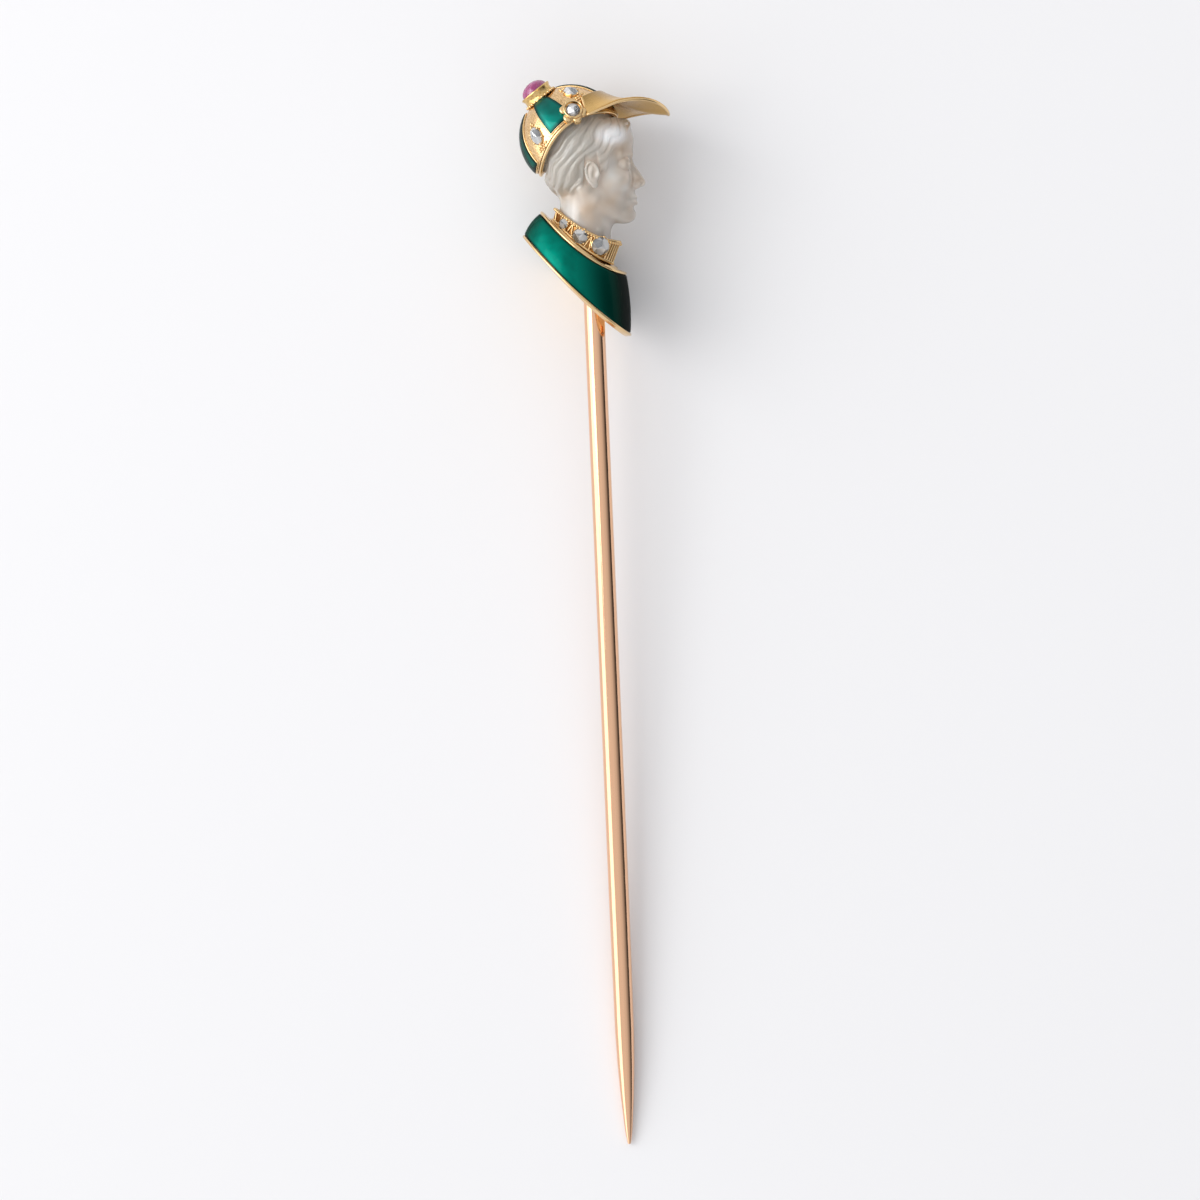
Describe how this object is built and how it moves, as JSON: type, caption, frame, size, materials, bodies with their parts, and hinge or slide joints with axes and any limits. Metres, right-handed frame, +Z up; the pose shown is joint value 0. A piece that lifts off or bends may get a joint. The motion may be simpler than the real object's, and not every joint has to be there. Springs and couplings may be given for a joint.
{
  "type": "hat pin",
  "caption": "Gold stick pin with a tapered stem and a carved moonstone bust in an enamelled cap, gem-set collar and enamelled cape.",
  "frame": {"origin": "middle of the box that holds the pin, on the surface that it lies on", "axes": "the pin lies on its left side: +Y along the stem from the point to the head, +X the way the head faces, +Z up from the surface"},
  "size_m": [0.0102, 0.0704, 0.0082],
  "materials": {
    "stem_gold": "polished",
    "setting_gold": "polished",
    "peak_gold": "satin",
    "enamel": "gloss",
    "moonstone": "polished",
    "ruby": "polished",
    "diamond": "polished"
  },
  "bodies": {
    "root": {"base_plate": "setting_gold", "button_collet_left": "setting_gold", "button_collet_right": "setting_gold", "button_diamond_left": "diamond", "button_diamond_right": "diamond", "cap_crown": "setting_gold", "cap_rim": "setting_gold", "collar_band": "setting_gold", "collar_diamond_left_1": "diamond", "collar_diamond_left_2": "diamond", "collar_diamond_left_3": "diamond", "collar_diamond_right_1": "diamond", "collar_diamond_right_2": "diamond", "collar_diamond_right_3": "diamond", "enamel_gore_back": "enamel", "enamel_gore_front": "enamel", "enamel_gore_left": "enamel", "enamel_gore_right": "enamel", "gore_diamond_back_left": "diamond", "gore_diamond_back_right": "diamond", "gore_diamond_front_left": "diamond", "gore_diamond_front_right": "diamond", "moonstone_head": "moonstone", "neck_peg": "setting_gold", "neckline_plate": "setting_gold", "peak": "peak_gold", "ruby_bezel": "setting_gold", "ruby_cabochon": "ruby", "shoulder_band": "setting_gold", "shoulder_bottom_rim": "setting_gold", "shoulder_enamel": "enamel", "shoulder_top_rim": "setting_gold", "stem": "stem_gold"}
  },
  "joints": []
}
